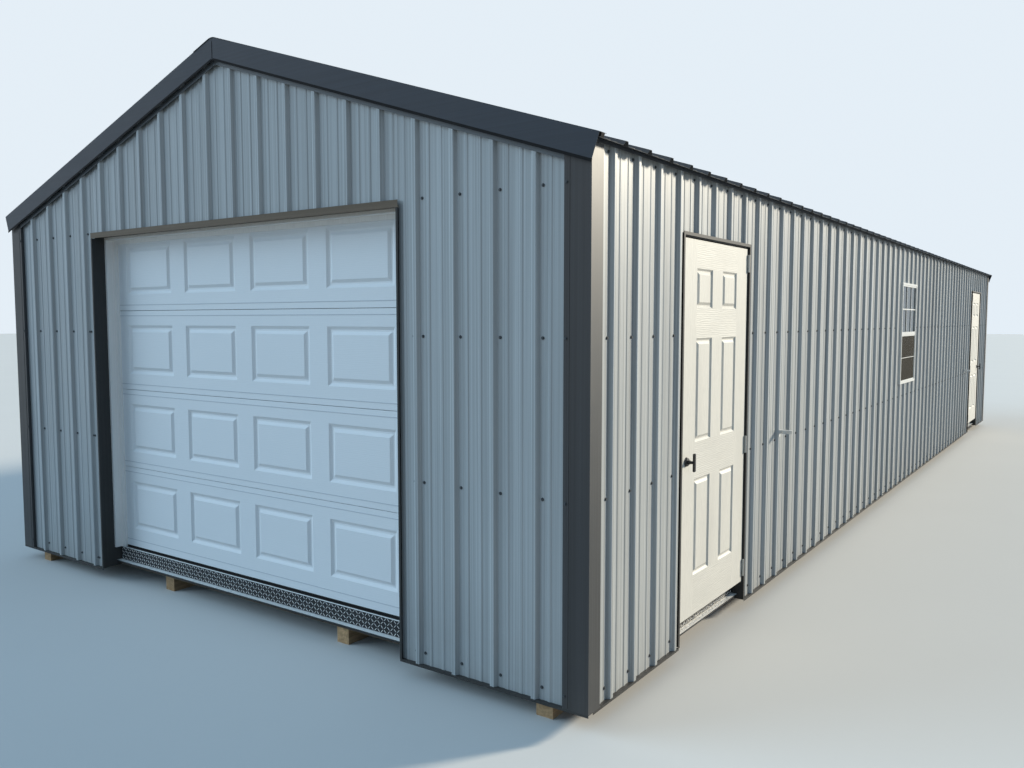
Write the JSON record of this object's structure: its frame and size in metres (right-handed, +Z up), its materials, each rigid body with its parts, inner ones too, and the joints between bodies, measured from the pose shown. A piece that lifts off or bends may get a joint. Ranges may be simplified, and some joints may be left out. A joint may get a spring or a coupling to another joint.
{
  "type": "detached garage",
  "caption": "Long gabled garage on skids, ribbed steel walls and roof, a panelled overhead door in the gable, and hinged walk doors and a sash window in one side.",
  "frame": {"origin": "on the ground, at the middle of the whole part's bounding box in plan", "axes": "+X across the building towards the side with the walk doors, +Y along it from the overhead door to the rear gable, +Z up"},
  "size_m": [5.0508, 13.5032, 3.3788],
  "materials": {
    "treated_timber": "sawn pressure-treated softwood",
    "deck_board": "sanded plywood decking",
    "framing_timber": "planed softwood framing",
    "charcoal_roof_steel": "satin charcoal coated steel sheet",
    "charcoal_trim_steel": "satin charcoal coated steel trim",
    "grey_wall_steel": "satin light grey coated steel sheet",
    "white_door_steel": "white embossed coated steel",
    "white_board": "white painted board",
    "black_rubber": "black ribbed weather seal",
    "tread_plate": "worn raised-bar tread metal",
    "white_leaf": "white wood-grain embossed door skin",
    "black_hardware": "black coated metal",
    "grey_hinge_steel": "zinc plated steel",
    "white_bracket_steel": "white coated steel",
    "white_vinyl": "white extruded vinyl",
    "window_glass": "clear float glass"
  },
  "bodies": {
    "garage": {"skids": "treated_timber", "floor_frame": "treated_timber", "floor_deck": "deck_board", "front_wall_frame": "framing_timber", "front_gable_frame": "framing_timber", "rear_wall_frame": "framing_timber", "left_wall_frame": "framing_timber", "right_wall_frame": "framing_timber", "walk_door_headers": "framing_timber", "roof_rafters": "framing_timber", "ceiling_ties": "framing_timber", "ridge_board": "framing_timber", "roof_purlins": "framing_timber", "roof_sheets": "charcoal_roof_steel", "ridge_cap": "charcoal_roof_steel", "rake_trims": "charcoal_trim_steel", "gable_strips": "charcoal_trim_steel", "corner_trims": "charcoal_trim_steel", "base_trims": "charcoal_trim_steel", "front_cladding": "grey_wall_steel", "rear_cladding": "grey_wall_steel", "left_cladding": "grey_wall_steel", "right_cladding": "grey_wall_steel", "overhead_door_sections": "white_door_steel", "overhead_door_jambs": "white_board", "overhead_door_stops": "white_board", "overhead_door_casings": "charcoal_trim_steel", "overhead_door_head_trim": "charcoal_trim_steel", "overhead_door_sill": "treated_timber", "overhead_door_threshold": "tread_plate", "walk_door_jambs": "charcoal_trim_steel", "walk_door_stops": "black_rubber", "walk_door_casings": "charcoal_trim_steel", "walk_door_thresholds": "tread_plate", "walk_door_hinge_pins": "grey_hinge_steel", "hold_back_brackets": "white_bracket_steel", "window_frame": "white_vinyl", "window_sashes": "white_vinyl", "window_panes": "window_glass"},
    "near_door": {"near_door_leaf": "white_leaf", "near_door_handles": "black_hardware", "near_door_hinge_leaves": "grey_hinge_steel"},
    "far_door": {"far_door_leaf": "white_leaf", "far_door_handles": "black_hardware", "far_door_hinge_leaves": "grey_hinge_steel"}
  },
  "joints": [
    {"name": "near_door_hinge", "type": "hinge", "parent": "garage", "child": "near_door", "pos_m": [2.44189, -4.8575, 0.2067], "axis": [0, 0, 1], "range_deg": [0, 165]},
    {"name": "far_door_hinge", "type": "hinge", "parent": "garage", "child": "far_door", "pos_m": [2.44189, 4.8575, 0.2067], "axis": [0, 0, -1], "range_deg": [0, 165]}
  ]
}
